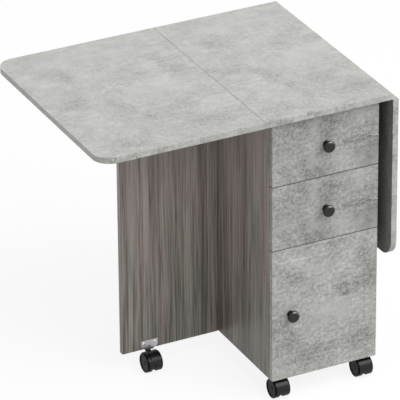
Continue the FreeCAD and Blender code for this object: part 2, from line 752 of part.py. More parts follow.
def caster_hood(name, braked):
    """The moulded body of a caster: a curved hood, a web between the wheels and a turret on the stem.
    The swivel axis is on Z and the wheels trail towards -Y. A braked hood has a seat for its lever and
    a slot in its back."""
    axle = ("-Size.caster_trail", "Place.axle_z")
    half = "Size.caster_body / 2"
    width = centred(half)
    arc = ("Size.hood_start", "Size.hood_span")
    shell = ring_sector(f"{name}_shell", "Place.hood_inner", "Place.hood_outer", "Size.hood_width", *arc)
    core_radius = "(Place.hood_inner + Place.hood_outer) / 2"
    core = disc_sector(f"{name}_core", core_radius, "Size.caster_body", *arc)
    web = rod(f"{name}_web", "Size.web_radius", *width, ALONG_X, axle)
    turret = rod(f"{name}_turret", f"{half} - Size.turret_step", "Place.axle_z", "Place.turret_top")
    head_low = "Place.turret_top - Size.turret_head"
    head = rod(f"{name}_turret_head", "Size.collar_diameter / 2", head_low, "Place.turret_top")
    shoulder = ("Place.axle_z", "Place.axle_z + Size.web_radius")
    bridge = box(f"{name}_bridge", [width, ("-Size.caster_trail", "0"), shoulder])
    stem_low = "Place.turret_top - Size.stem_length - Size.swivel_gap"
    hollows = [
        rod(f"{name}_stem_bore", "Size.stem_diameter / 2 + Size.pin_play", stem_low, "Place.turret_top"),
        rod(f"{name}_axle_bore", "Size.axle_diameter / 2 + Size.pin_play", *width, ALONG_X, axle),
    ]
    if braked:
        seat = centred("Size.lever_width / 2 + Size.lever_play")
        pivot = ("Place.lever_pivot_y", "Place.lever_pivot_z")
        hollows.append(rod("lever_seat", "Size.lever_rod + Size.lever_play", *seat, ALONG_X, pivot))
        back = "-Size.caster_trail - Place.hood_outer"
        hollows.append(box("brake_slot", [
            centred("Size.slot_width / 2"),
            (back, f"{back} + Size.slot_depth"),
            ("Place.axle_z - Size.slot_height / 2", "Place.axle_z + Size.slot_height / 2"),
        ]))
    # The seams between the web's pieces stay, because merging them isn't sound at every start angle.
    blank = fuse(f"{name}_blank", [shell, core, web, turret, head, bridge], refine=False)
    return cut(name, blank, hollows, refine=False)


def caster_wheels():
    """A pair of wheels with a raised rim, a dished face and a small cap, and their axle."""
    rim = "Size.wheel_diameter / 2"
    dish = f"{rim} - Size.wheel_rim"
    cap = "Size.wheel_cap / 2"
    seat = "Size.axle_diameter / 2"
    axle_stop = "Place.wheel_outside - Size.axle_end"
    inside = "Place.wheel_inside"
    outside = "Place.wheel_outside"
    body, shape = turned("wheel", "XY_Plane", "H_Axis", [
        (inside, seat),
        (inside, rim),
        (outside, rim),
        (outside, dish),
        (f"{outside} - Size.wheel_dish", f"{dish} - Size.wheel_dish"),
        (f"{outside} - Size.wheel_dish", cap),
        (f"{outside} - Size.wheel_dish / 2", cap),
        (f"{outside} - Size.wheel_dish / 2", "0"),
        (axle_stop, "0"),
        (axle_stop, seat),
    ])

    def tread_edge(edge):
        on_rim = abs(edge.BoundBox.YMax - value(rim)) < 0.01 and len(edge.Vertexes) == 1
        return on_rim and abs(edge.BoundBox.XMax - value(outside)) < 0.01

    round_edges(body, shape, "Size.wheel_round", tread_edge)
    other = doc.addObject("Part::Mirroring", "other_wheel")
    other.Source = body
    other.Normal = Vector(1, 0, 0)
    spot = {"y": "-Size.caster_trail", "z": "Place.axle_z"}
    wheels = locate(group("wheel_pair", [body, other]), **spot)
    axle = rod("axle", seat, *centred(axle_stop), ALONG_X, (spot["y"], spot["z"]))
    return wheels, axle


def brake_lever():
    """A curved lever on the back of a hood, with a lip. It tips on a rod along its upper end."""
    arc = ("Size.lever_start", "Size.lever_span")
    tab = ring_sector("lever_tab", "Place.lever_inner", "Place.lever_outer", "Size.lever_width", *arc)
    lip_arc = ("Size.lever_start + Size.lever_span - Size.lever_lip_span", "Size.lever_lip_span")
    lip_top = "Place.lever_outer + Size.lever_lip"
    lip = ring_sector("lever_lip", "Place.lever_inner", lip_top, "Size.lever_width", *lip_arc)
    pivot = ("Place.lever_pivot_y", "Place.lever_pivot_z")
    hinge_rod = rod("lever_rod", "Size.lever_rod", *centred("Size.lever_width / 2"), ALONG_X, pivot)
    return fuse("brake_lever", [tab, lip, hinge_rod])


def casters():
    """Four casters under the cabinet and one under each gate."""
    plate = caster_plate()
    stem = fuse("plate_stem", caster_stem("plate"))
    bracket = gate_bracket()
    plain_hood = caster_hood("plain_hood", braked=False)
    braked_hood = caster_hood("braked_hood", braked=True)
    wheels, axle = caster_wheels()
    lever = brake_lever()
    front_x = "Place.side_face - Size.front_caster_side"
    front_y = "Place.carcass_front + Size.front_caster_end"
    rear_y = "Place.carcass_back - Size.rear_caster_end"
    under_cabinet = {
        "front_left": (f"-({front_x})", front_y),
        "front_right": (front_x, front_y),
        "rear_left": ("-Size.rear_caster_x", rear_y),
        "rear_right": ("Size.rear_caster_x", rear_y),
    }
    under_gates = {
        "left_gate": ("-(Place.side_face + Place.gate_stem_out)", "Size.gate_face + Size.board / 2"),
        "right_gate": (
            "Place.folded_gate_x + Size.board / 2",
            "Place.gate_pivot_y + Place.gate_stem_out - Size.gate_pivot_offset",
        ),
    }
    riveted = [copy_at(piece, *spot) for spot in under_cabinet.values() for piece in (plate, stem)]
    node("caster_plates", riveted)
    node("left_gate_bracket", [bracket], *under_gates["left_gate"])
    node("right_gate_bracket", [bracket], *under_gates["right_gate"], turn=Rotation(Vector(0, 0, 1), 90))
    for name, spot in {**under_cabinet, **under_gates}.items():
        node(f"{name}_caster_hood", [braked_hood if name in under_gates else plain_hood], *spot)
        node(f"{name}_caster_wheels", [wheels], *spot)
        node(f"{name}_caster_axle", [axle], *spot)
    for name, spot in under_gates.items():
        node(f"{name}_caster_lever", [lever], *spot)


cabinet()
leaves()
gates()
hinge_sets()
drawers()
knobs()
door()
casters()
doc.recompute()

for thing in doc.Objects:
    if {"Invalid", "Error"} & set(thing.State):
        raise RuntimeError(f"{thing.Name} did not compute: {thing.State}")
for part in nodes:
    if part.Shape.isNull() or not part.Shape.isValid():
        raise RuntimeError(f"{part.Label} has no valid shape")

os.makedirs("parts", exist_ok=True)
for part in nodes:
    part.Shape.exportStep(f"parts/{part.Label}.step")
    print(part.Label, len(part.Shape.Solids), round(part.Shape.Volume))
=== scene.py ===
# %% [markdown]
# # Folding dining table
# A narrow cabinet on casters carries a fixed centre top. The left leaf is raised on its gate and the right
# leaf hangs down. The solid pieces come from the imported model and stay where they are. This lesson gives them
# their printed laminates, plated steel and black nylon, tightens the leaves' corners, softens the edges and
# drives in the screws.

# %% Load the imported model
import itertools
import math

import bmesh
import bpy
from mathutils import Matrix, Vector


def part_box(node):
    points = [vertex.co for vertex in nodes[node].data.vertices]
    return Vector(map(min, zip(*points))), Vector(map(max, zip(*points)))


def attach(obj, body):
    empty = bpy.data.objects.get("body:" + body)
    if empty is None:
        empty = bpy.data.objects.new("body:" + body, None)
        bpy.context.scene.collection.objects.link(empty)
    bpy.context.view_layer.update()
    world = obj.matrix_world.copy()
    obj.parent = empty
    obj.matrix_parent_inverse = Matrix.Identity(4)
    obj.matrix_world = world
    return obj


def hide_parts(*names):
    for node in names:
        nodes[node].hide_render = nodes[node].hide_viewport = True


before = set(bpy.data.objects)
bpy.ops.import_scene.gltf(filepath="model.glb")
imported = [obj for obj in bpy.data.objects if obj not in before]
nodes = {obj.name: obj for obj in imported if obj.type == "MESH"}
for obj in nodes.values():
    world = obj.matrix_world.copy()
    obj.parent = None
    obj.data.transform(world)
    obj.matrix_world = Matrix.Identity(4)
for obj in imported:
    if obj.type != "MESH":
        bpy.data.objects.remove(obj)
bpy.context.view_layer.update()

MM = 0.001

# %% [markdown]
# ## Camera
# The table was pictured from far off through a long lens, so its upright edges stay nearly parallel. A camera
# can follow a target with a constraint, but three plain turns say it as a photographer would: how far round
# the table, how far up, and how much the picture leans.

# %% Camera
VIEW_TARGET = Vector((0.1406, 0.2620, 0.2888))
VIEW_DISTANCE = 10.056
VIEW_AZIMUTH = math.radians(-26.44)
VIEW_ELEVATION = math.radians(27.35)
VIEW_LEAN = math.radians(-0.482)
LENS = 359.1
SENSOR = 36
FAR_CLIP = 100


def place_camera():
    """A camera on a long arm from the target, turned round, up and over."""
    camera_data = bpy.data.cameras.new("camera")
    camera_data.sensor_width = SENSOR
    camera_data.lens = LENS
    camera_data.clip_end = FAR_CLIP
    camera = bpy.data.objects.new("camera", camera_data)
    bpy.context.scene.collection.objects.link(camera)
    facing = (
        Matrix.Rotation(VIEW_AZIMUTH, 4, "Z")
        @ Matrix.Rotation(math.pi / 2 - VIEW_ELEVATION, 4, "X")
        @ Matrix.Rotation(VIEW_LEAN, 4, "Z")
    )
    camera.matrix_world = Matrix.Translation(VIEW_TARGET) @ facing @ Matrix.Translation((0, 0, VIEW_DISTANCE))
    bpy.context.scene.camera = camera
    return camera


camera = place_camera()
bpy.context.scene.view_settings.view_transform = "Standard"
print("camera at", [round(value, 3) for value in camera.matrix_world.translation])

# %% [markdown]
# ## Shader words
# A finish is a net of small nodes. Wiring each one by hand hides the idea, so one small class wraps a socket
# and lets Python's own arithmetic add the Math nodes. Its one node method makes every other kind of node.

# %% A socket that can be added and multiplied
def feed(socket, content):
    """Links a field to a socket, or sets the socket's own value."""
    if isinstance(content, Field):
        content.tree.links.new(content.socket, socket)
    elif socket.type == "RGBA":
        socket.default_value = (*content, 1)
    else:
        socket.default_value = content


class Field:
    """A socket of a shader. Sums and products of fields add Math nodes to its tree."""

    def __init__(self, tree, socket=None):
        self.tree = tree
        self.socket = socket

    def node(self, kind, settings=None, inputs=None, output=0):
        """Adds any node: first its settings, then the values or links of its sockets."""
        added = self.tree.nodes.new(kind)
        for name, setting in (settings or {}).items():
            setattr(added, name, setting)
        for key, content in (inputs or {}).items():
            feed(added.inputs[key], content)
        return Field(self.tree, added.outputs[output])

    def maths(self, operation, first, second=0.0):
        return self.node("ShaderNodeMath", {"operation": operation}, {0: first, 1: second})

    def __add__(self, other):
        return self.maths("ADD", self, other)

    def __radd__(self, other):
        return self.maths("ADD", other, self)

    def __sub__(self, other):
        return self.maths("SUBTRACT", self, other)

    def __rsub__(self, other):
        return self.maths("SUBTRACT", other, self)

    def __mul__(self, other):
        return self.maths("MULTIPLY", self, other)

    def __rmul__(self, other):
        return self.maths("MULTIPLY", other, self)

    def rise(self, low, high):
        """A smooth rise from 0 at one level to 1 at the other."""
        settings = {"interpolation_type": "SMOOTHSTEP"}
        return self.node("ShaderNodeMapRange", settings, {0: self, 1: low, 2: high})

    def between(self, first, second):
        """The colour that lies this far from the first to the second."""
        return self.node("ShaderNodeMix", {"data_type": "RGBA"}, {0: self, 6: first, 7: second}, 2)

    def vector_maths(self, operation, other=(0, 0, 0), output=0):
        return self.node("ShaderNodeVectorMath", {"operation": operation}, {0: self, 1: other}, output)

    def moved(self, offset):
        return self.vector_maths("ADD", offset)

    def stretched(self, factors):
        return self.vector_maths("MULTIPLY", factors)

    def noise(self, scale, detail=3.0, roughness=0.5, output="Fac"):
        """Cloudy noise with about this many lumps to the metre."""
        inputs = {"Vector": self, "Scale": scale, "Detail": detail, "Roughness": roughness}
        return self.node("ShaderNodeTexNoise", {}, inputs, output)

    def measured(self, origin, axes):
        """The same place, measured from an origin along three axes."""
        offset = self.moved(-origin)
        lengths = [offset.vector_maths("DOT_PRODUCT", axis, "Value") for axis in axes]
        return self.node("ShaderNodeCombineXYZ", {}, dict(enumerate(lengths)))

    def bump(self, strength, height):
        """A normal from this field, read as relief of that height in metres."""
        inputs = {"Strength": strength, "Distance": height, "Height": self}
        return self.node("ShaderNodeBump", {}, inputs, "Normal")


print("socket class ready")

# %% New finishes
X = Vector((1, 0, 0))
Y = Vector((0, 1, 0))
Z = Vector((0, 0, 1))


def set_sockets(material, **sockets):
    """Sets or links sockets of a material's shader. A socket's name has _ for each space."""
    shader = material.node_tree.nodes["Principled BSDF"]
    for name, content in sockets.items():
        feed(shader.inputs[name.replace("_", " ")], content)


def new_finish(name, **sockets):
    """A new material with constant values on its shader. Gives it with the place on the surface."""
    material = bpy.data.materials.new(name)
    material.use_nodes = True
    set_sockets(material, **sockets)
    return material, Field(material.node_tree).node("ShaderNodeTexCoord", output="Object")


print("shader words ready")

# %% [markdown]
# ## Studio
# The picture is a product shot: white all round, light from above and from the drawer side, and hardly any
# shadow. A white backdrop could be lit until it glows, but that light would wash out the table. Here the
# floor and the sky are white only for the camera and for reflections. The table itself gets a plain grey sky,
# one wide lamp over the drawer side, a faint one towards the gate, and a small one at the right that puts a
# glint on the knobs.

# %% White sky and pale floor
SKY_LEVEL = 0.42
FLOOR_ALBEDO = 0.50
FLOOR_GLOW = 0.87
FLOOR_SHADE = 0.16
FLOOR_HALF = 40.0
WHITE = (1, 1, 1)


def seen_directly(start):
    """1 for rays from the camera and for rays that a mirror or glass sends on."""
    names = ("Is Camera Ray", "Is Glossy Ray", "Is Transmission Ray")
    from_camera, from_mirror, from_glass = [start.node("ShaderNodeLightPath", output=name) for name in names]
    return start.maths("MAXIMUM", start.maths("MAXIMUM", from_camera, from_mirror), from_glass)


def white_sky():
    world = bpy.data.worlds.new("studio")
    world.use_nodes = True
    start = Field(world.node_tree)
    light = start.node("ShaderNodeBackground", {}, {"Color": WHITE, "Strength": SKY_LEVEL})
    look = start.node("ShaderNodeBackground", {}, {"Color": WHITE, "Strength": 1.0})
    mixed = start.node("ShaderNodeMixShader", {}, {0: seen_directly(start), 1: light, 2: look})
    feed(world.node_tree.nodes["World Output"].inputs["Surface"], mixed)
    bpy.context.scene.world = world


def pale_floor():
    mesh = bpy.data.meshes.new("floor")
    corners = [(-FLOOR_HALF, -FLOOR_HALF, 0), (FLOOR_HALF, -FLOOR_HALF, 0),
               (FLOOR_HALF, FLOOR_HALF, 0), (-FLOOR_HALF, FLOOR_HALF, 0)]
    mesh.from_pydata(corners, [], [(0, 1, 2, 3)])
    floor = bpy.data.objects.new("floor", mesh)
    bpy.context.scene.collection.objects.link(floor)
    material = bpy.data.materials.new("pale_floor")
    material.use_nodes = True
    start = Field(material.node_tree)
    glow = start.node("ShaderNodeEmission", {}, {"Color": WHITE, "Strength": FLOOR_GLOW})
    shade = start.node("ShaderNodeBsdfDiffuse", {}, {"Color": (FLOOR_SHADE,) * 3})
    look = start.node("ShaderNodeAddShader", {}, {0: glow, 1: shade})
    bounce = start.node("ShaderNodeBsdfDiffuse", {}, {"Color": (FLOOR_ALBEDO,) * 3})
    mixed = start.node("ShaderNodeMixShader", {}, {0: seen_directly(start), 1: bounce, 2: look})
    feed(material.node_tree.nodes["Material Output"].inputs["Surface"], mixed)
    mesh.materials.append(material)


white_sky()
pale_floor()
print(f"sky {SKY_LEVEL}, floor {FLOOR_ALBEDO}, shadow share {FLOOR_SHADE}")

# %% A wide lamp, a faint one and a glint
LAMP_AIM = Vector((0.1, 0, 0.5))


def soft_lamp(name, direction, distance, size, level):
    """A square lamp. Its level is the brightness that it gives to a white card that faces it."""
    light = bpy.data.lights.new(name, "AREA")
    light.shape = "SQUARE"
    light.size = size
    light.energy = level * (math.pi * distance) ** 2
    lamp = bpy.data.objects.new(name, light)
    bpy.context.scene.collection.objects.link(lamp)
    lamp.location = LAMP_AIM + Vector(direction).normalized() * distance
    lamp.rotation_euler = Vector(direction).to_track_quat("Z", "Y").to_euler()
    print(f"{name}: {light.energy:.0f} W")


soft_lamp("key_lamp", (0.25, -0.60, 0.76), distance=8.0, size=7.0, level=0.73)
soft_lamp("fill_lamp", (-0.95, 0.0, 0.30), distance=8.0, size=8.0, level=0.066)
soft_lamp("glint_lamp", (0.79, -0.28, 0.54), distance=8.0, size=1.6, level=0.03)

# %% [markdown]
# ## Leaf corners
# The outer corners of both leaves are rounded with a router. The solids have a wider round than the pictured
# table. A Boolean could fill the corners and cut them anew, but a round corner also turns into a tighter one
# when all of its points draw nearer to the board's square corner by one share. So each leaf shows a copy of
# its board with drawn corners, and the solid itself stays as it is.

# %% Tighter corners
LEAF_ROUND = 46 * MM
TOUCH = 0.1 * MM
shown = dict(nodes)


def tighter_leaf(side, lengthwise):
    """Shows a leaf board with tighter corners. Lengthwise numbers the axis that runs away from the hinge."""
    name = f"{side}_leaf_board"
    low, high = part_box(name)
    mesh = nodes[name].data.copy()
    outer_end = [vertex.co for vertex in mesh.vertices if vertex.co[lengthwise] - low[lengthwise] < TOUCH]
    solid_round = min(place.y for place in outer_end) - low.y
    share = LEAF_ROUND / solid_round
    for vertex, edge in itertools.product(mesh.vertices, (low.y, high.y)):
        from_end = vertex.co[lengthwise] - low[lengthwise]
        from_edge = vertex.co.y - edge
        if max(from_end, abs(from_edge)) < solid_round + TOUCH:
            vertex.co[lengthwise] = low[lengthwise] + from_end * share
            vertex.co.y = edge + from_edge * share
    board = bpy.data.objects.new(f"{side}_leaf_top", mesh)
    bpy.context.scene.collection.objects.link(board)
    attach(board, f"{side}_leaf")
    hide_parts(name)
    shown[name] = board
    print(f"{board.name}: corners from {solid_round / MM:.0f} to {LEAF_ROUND / MM:.0f} mm")


tighter_leaf("left", lengthwise=0)
tighter_leaf("right", lengthwise=2)

# %% [markdown]
# ## Concrete print
# Tops, leaves and fronts are chipboard with a printed paper under clear resin. The print shows cast concrete:
# soft clouds a hand wide, mottling, stained patches full of small pits and glints, and a few bare trowelled
# places that are smoother than the rest. Noise at several sizes gives the clouds and the grit. The stains are
# soft ellipses whose outlines noise tears up.

# %% Soft patches
HALF_GREY = (-0.5, -0.5, -0.5)


def lumps(local, scale, detail=3.0, roughness=0.6):
    """Noise pulled apart until it fills the range from 0 to 1."""
    return local.noise(scale, detail, roughness).rise(0.3, 0.7)


def patch(local, centre, reach):
    """1 in the middle of a soft ellipse and 0 outside it. Sizes are in millimetres."""
    offset = local.moved((-centre[0] * MM, -centre[1] * MM, 0))
    shares = offset.stretched((1 / (reach[0] * MM), 1 / (reach[1] * MM), 0))
    return shares.vector_maths("LENGTH", output="Value").rise(1.25, 0.1)


def patches(local, places):
    """Several soft ellipses, each with its own strength."""
    total = 0
    for centre, reach, strength in places:
        total = total + patch(local, centre, reach) * strength
    return total


def wear(material, *names):
    """Gives pieces a finish."""
    for name in names:
        for slot in shown[name].material_slots:
            slot.material = material


print("soft patches ready")

# %% Tone of the concrete
STAIN_TEAR = 0.08
SCRATCH_TEAR = 0.028
CLOUDS_PER_METRE = 17
TEARS_PER_METRE = 38
MOTTLES_PER_METRE = 105
TROWEL_MARKS_PER_METRE = 120
SCORES_PER_METRE = 130
PITS_PER_METRE = 200
GLINTS_PER_METRE = 220
TROWEL_LENGTHENING = 0.15
MIDDLE_TONE = 0.52
TROWEL_TONE = 0.12
BARE_TONE = 0.16
PIT_TONE = 0.50
GLINT_TONE = 0.46
BARE_SMOOTHING = 0.7


def concrete_tone(local, stains, bare_places, scratches, cloudy, mottled, stained, grit):
    """Tone of the print about 0.5. Grit is the share of pits and glints outside the stains."""
    tears = local.noise(TEARS_PER_METRE, 4, 0.65, "Color").moved(HALF_GREY)
    torn = local.vector_maths("ADD", tears.stretched((STAIN_TEAR, STAIN_TEAR, 0)))
    frayed = local.vector_maths("ADD", tears.stretched((SCRATCH_TEAR, SCRATCH_TEAR, 0)))
    stain = patches(torn, stains)
    bare = patches(torn, bare_places)
    clouds = lumps(local, CLOUDS_PER_METRE, 4) - 0.5
    mottles = lumps(local, MOTTLES_PER_METRE, 4) - 0.5
    trowel = lumps(local.stretched((TROWEL_LENGTHENING, 1, 1)), TROWEL_MARKS_PER_METRE) - 0.5
    pits = local.noise(PITS_PER_METRE, 3, 0.7).rise(0.55, 0.65)
    glints = local.moved((3, 0, 0)).noise(GLINTS_PER_METRE, 3, 0.7).rise(0.57, 0.67)
    uneven = 1 - bare.maths("ABSOLUTE", bare).rise(0, 0.6) * BARE_SMOOTHING
    rough = stain + uneven * grit
    even = MIDDLE_TONE + clouds * cloudy + mottles * uneven * mottled + trowel * TROWEL_TONE
    scored = patches(frayed, scratches) * lumps(local.moved((0, 5, 0)), SCORES_PER_METRE)
    worn = even - stain * stained + bare * BARE_TONE + scored
    return worn - pits * rough * PIT_TONE + glints * rough * GLINT_TONE


print("concrete words ready")

# %% [markdown]
# ## Tops and leaves
# All three boards are cut from one pale printed sheet, so stains of one board come back on the next, a little
# shifted. The front edges carry a strip of the same print with darker pitted places. Underneath, the print is
# painted darker as shade, which shows most on the inner face of the hanging leaf. Each board measures its print
# from its own corner, so a leaf keeps its print when it swings.
# Each soft place below has a centre, a reach both ways and a strength, with lengths in millimetres from that
# corner. The widest stain, along the front, is painted shade, and the widest bare place, at the back, is
# painted light, so each top is darker at the front and paler at the back.

# %% Stains of the tops
SHEET_SHIFT = 47
TOP_STAINS_AND_SHADE = [
    ((70, 478), (24, 18), 0.6),
    ((119, 440), (20, 44), 0.9),
    ((212, 453), (34, 24), 0.6),
    ((356, 431), (18, 44), 0.8),
    ((375, 369), (36, 24), 1.0),
    ((281, 378), (26, 16), 0.7),
    ((75, 300), (70, 44), 0.8),
    ((160, 270), (26, 28), 0.8),
    ((172, 220), (28, 44), 1.0),
    ((196, 160), (26, 20), 0.9),
    ((287, 169), (58, 40), 0.8),
    ((337, 80), (70, 44), 0.9),
    ((90, 50), (64, 40), 0.8),
    # Painted shade: a wide faint darkening along the front.
    ((200, 60), (260, 130), 0.3),
]
TOP_BARE_AND_LIGHT = [
    # Painted light: a wide paler place along the back.
    ((215, 540), (260, 110), 0.35),
    ((300, 290), (90, 50), 0.7),
    ((50, 430), (40, 50), 0.5),
    ((250, 520), (120, 30), 0.5),
    ((140, 120), (50, 30), 0.5),
]
LEAF_EDGE_STAINS = [
    ((38, 0), (26, 11), 2.0),
    ((92, 0), (24, 10), 1.8),
    ((160, 0), (18, 9), 1.6),
    ((262, 0), (12, 8), 0.8),
    ((362, 0), (14, 8), 0.9),
]
CENTRE_EDGE_STAINS = [
    ((8, 0), (14, 10), 1.4),
    ((46, 0), (26, 11), 2.2),
    ((114, 0), (16, 11), 2.2),
    ((134, 0), (10, 8), 1.4),
    ((182, 0), (10, 7), 1.2),
    ((210, 0), (12, 7), 1.4),
    ((236, 0), (11, 7), 1.4),
]


def shifted(places, shift):
    """The same soft places, further along the board."""
    return [((centre[0] + shift, centre[1]), reach, strength) for centre, reach, strength in places]


leaf_stains_and_shade = TOP_STAINS_AND_SHADE + LEAF_EDGE_STAINS
centre_stains_and_shade = shifted(TOP_STAINS_AND_SHADE, -SHEET_SHIFT) + CENTRE_EDGE_STAINS
centre_bare_and_light = shifted(TOP_BARE_AND_LIGHT, -SHEET_SHIFT)
print(f"{len(leaf_stains_and_shade)} stains for each leaf, {len(centre_stains_and_shade)} for the centre top")

# %% Pale concrete
TOP_SHADES = ((0.300, 0.304, 0.282), (0.780, 0.787, 0.750))
UNDERSIDE_PAINTED_SHADES = ((0.130, 0.131, 0.122), (0.400, 0.402, 0.380))
UNDERSIDE_DEPTH = 0.5 * MM
RESIN_IOR = 1.45
RESIN_RELIEF = 0.1 * MM


def top_concrete(name, corner, axes, stains, bare_places):
    """Pale print whose first axis runs along the table, the second to the back and the third up."""
    material, place = new_finish(name, IOR=RESIN_IOR)
    local = place.measured(corner, axes)
    tone = concrete_tone(local, stains, bare_places, [], cloudy=0.20, mottled=0.22, stained=0.18, grit=0.26)
    # Painted shade: the underside of each board is darker.
    below = local.vector_maths("DOT_PRODUCT", Z, "Value").rise(UNDERSIDE_DEPTH, UNDERSIDE_DEPTH / 2)
    dark = below.between(TOP_SHADES[0], UNDERSIDE_PAINTED_SHADES[0])
    light = below.between(TOP_SHADES[1], UNDERSIDE_PAINTED_SHADES[1])
    set_sockets(
        material,
        Base_Color=tone.between(dark, light),
        Roughness=0.46 + (tone - 0.5) * 0.25,
        Normal=local.noise(900, 2, 0.5).bump(0.15, RESIN_RELIEF),
    )
    return material


left_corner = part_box("left_leaf_board")[0]
wear(top_concrete("left_leaf_concrete", left_corner, (X, Y, Z), leaf_stains_and_shade, TOP_BARE_AND_LIGHT), "left_leaf_board")
low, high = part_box("right_leaf_board")
hinge_corner = Vector((low.x, low.y, high.z))
wear(top_concrete("right_leaf_concrete", hinge_corner, (-Z, Y, X), leaf_stains_and_shade, TOP_BARE_AND_LIGHT), "right_leaf_board")
centre_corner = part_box("centre_top")[0]
wear(top_concrete("centre_top_concrete", centre_corner, (X, Y, Z), centre_stains_and_shade, centre_bare_and_light), "centre_top")
print("tops dressed")

# %% [markdown]
# ## Fronts
# The drawer fronts and the door carry a rougher sheet of the concrete print, with more stains. Both drawers
# are cut alike, so the print repeats from one to the other, and the door's piece is paler. Stains are
# measured from each front's lower left corner. A bare place of negative strength is a smooth one that is
# darker than the rest.

# %% Stains of the fronts
DRAWER_STAINS = [
    ((150, 128), (30, 54), 0.9),
    ((60, 132), (60, 34), 0.5),
    ((80, 154), (18, 14), 0.8),
    ((196, 136), (28, 18), 0.9),
    ((240, 84), (62, 14), 1.0),
    ((262, 52), (40, 30), 0.5),
    ((36, 32), (22, 24), 1.0),
    ((80, 40), (22, 18), 0.6),
    ((116, 14), (42, 22), 1.0),
    ((264, 108), (30, 16), 0.6),
]
DRAWER_BARE = [
    ((110, 142), (22, 26), 1.0),
    ((112, 48), (26, 18), 0.7),
    ((224, 146), (46, 26), 0.7),
    ((24, 70), (34, 20), 0.5),
    ((190, 36), (46, 24), 0.5),
    ((262, 36), (46, 40), -1.2),
]
DRAWER_SCRATCHES = [
    ((214, 78), (44, 9.0), -0.22),
    ((228, 80), (24, 2.4), 0.9),
    ((270, 80), (24, 2.4), 1.0),
    ((270, 73), (28, 3.6), -0.9),
    ((52, 112), (40, 2.4), -0.26),
]
DOOR_STAINS = [
    ((200, 214), (36, 22), 1.0),
    ((264, 236), (34, 46), 0.9),
    ((246, 290), (30, 34), 0.6),
    ((160, 340), (34, 16), 0.7),
    ((10, 146), (28, 30), 1.2),
    ((52, 104), (30, 34), 0.8),
    ((130, 62), (90, 20), 0.9),
    ((250, 64), (48, 44), 0.9),
    ((60, 40), (50, 14), 0.7),
    ((60, 262), (60, 24), 0.5),
]
DOOR_BARE = [
    ((80, 318), (70, 10), 0.5),
    ((160, 160), (90, 44), 0.8),
    ((120, 290), (60, 20), 0.5),
]
DOOR_SCRATCHES = [
    ((72, 320), (82, 2.8), 0.42),
    ((140, 46), (50, 2.6), 0.56),
    ((132, 40), (46, 3.4), -0.42),
    ((228, 174), (60, 2.4), 0.28),
    ((244, 216), (44, 3.4), -0.40),
    ((120, 346), (90, 3.0), -0.30),
]
drawer_places = (DRAWER_STAINS, DRAWER_BARE, DRAWER_SCRATCHES)
door_places = (DOOR_STAINS, DOOR_BARE, DOOR_SCRATCHES)
print(f"{len(DRAWER_STAINS)} stains for each drawer, {len(DOOR_STAINS)} for the door")

# %% Stained concrete
LEVELS = ("upper", "lower")
DRAWER_SHADES = ((0.170, 0.172, 0.159), (0.675, 0.681, 0.647))
DOOR_SHADES = ((0.200, 0.202, 0.187), (0.750, 0.756, 0.719))


def front_concrete(name, corner, shades, places):
    """Rough print in a pair of shades. The places are its stains, bare places and scratches."""
    material, place = new_finish(name, IOR=RESIN_IOR)
    local = place.measured(corner, (X, Z, Y))
    other_sheet = local.moved((0, 0, 1))
    tone = concrete_tone(other_sheet, *places, cloudy=0.20, mottled=0.40, stained=0.24, grit=0.62)
    set_sockets(
        material,
        Base_Color=tone.between(*shades),
        Roughness=0.50 + (tone - 0.5) * 0.25,
        Normal=local.noise(800, 2, 0.5).bump(0.2, RESIN_RELIEF),
    )
    return material


for level in LEVELS:
    front = f"{level}_drawer_front"
    front_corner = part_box(front)[0]
    wear(front_concrete(f"{level}_drawer_concrete", front_corner, DRAWER_SHADES, drawer_places), front)
door_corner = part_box("door_panel")[0]
wear(front_concrete("door_concrete", door_corner, DOOR_SHADES, door_places), "door_panel")
print("fronts dressed")

# %% [markdown]
# ## Wood print of the cabinet
# Sides, gates and inner boards have a printed wood grain, grey-brown with mauve and olive bands, which grows
# more mauve towards the top; its tone is also painted paler towards the top, as painted light. Grain is noise
# drawn out along the board: wide bands for colour, narrower streaks for tone, and hair lines for pores. The
# drawing out follows each board's own grain, upright on the walls and along the shelf boards. The gates' outer
# edges carry a paler tape, painted paler still as a highlight on the edge, with a thin darker line in the print
# beside it.

# %% Drawn-out grain
MAUVE_SHADES = ((0.124, 0.097, 0.090), (0.570, 0.500, 0.466))
OLIVE_SHADES = ((0.114, 0.105, 0.090), (0.540, 0.514, 0.458))
WANDERS_PER_METRE = 6
BANDS_PER_METRE = 26
BROAD_STREAKS_PER_METRE = 36
STREAKS_PER_METRE = 80
HEARTS_PER_METRE = 110
LINES_PER_METRE = 350
HAIRS_PER_METRE = 700
PORES_PER_METRE = 1500
SWAY = 0.008
GRAIN_LENGTHENING = 0.012
FOOT_TONE = 0.19
PAINTED_LIGHT_PER_METRE = 0.66
MAUVE_PER_METRE = 0.60


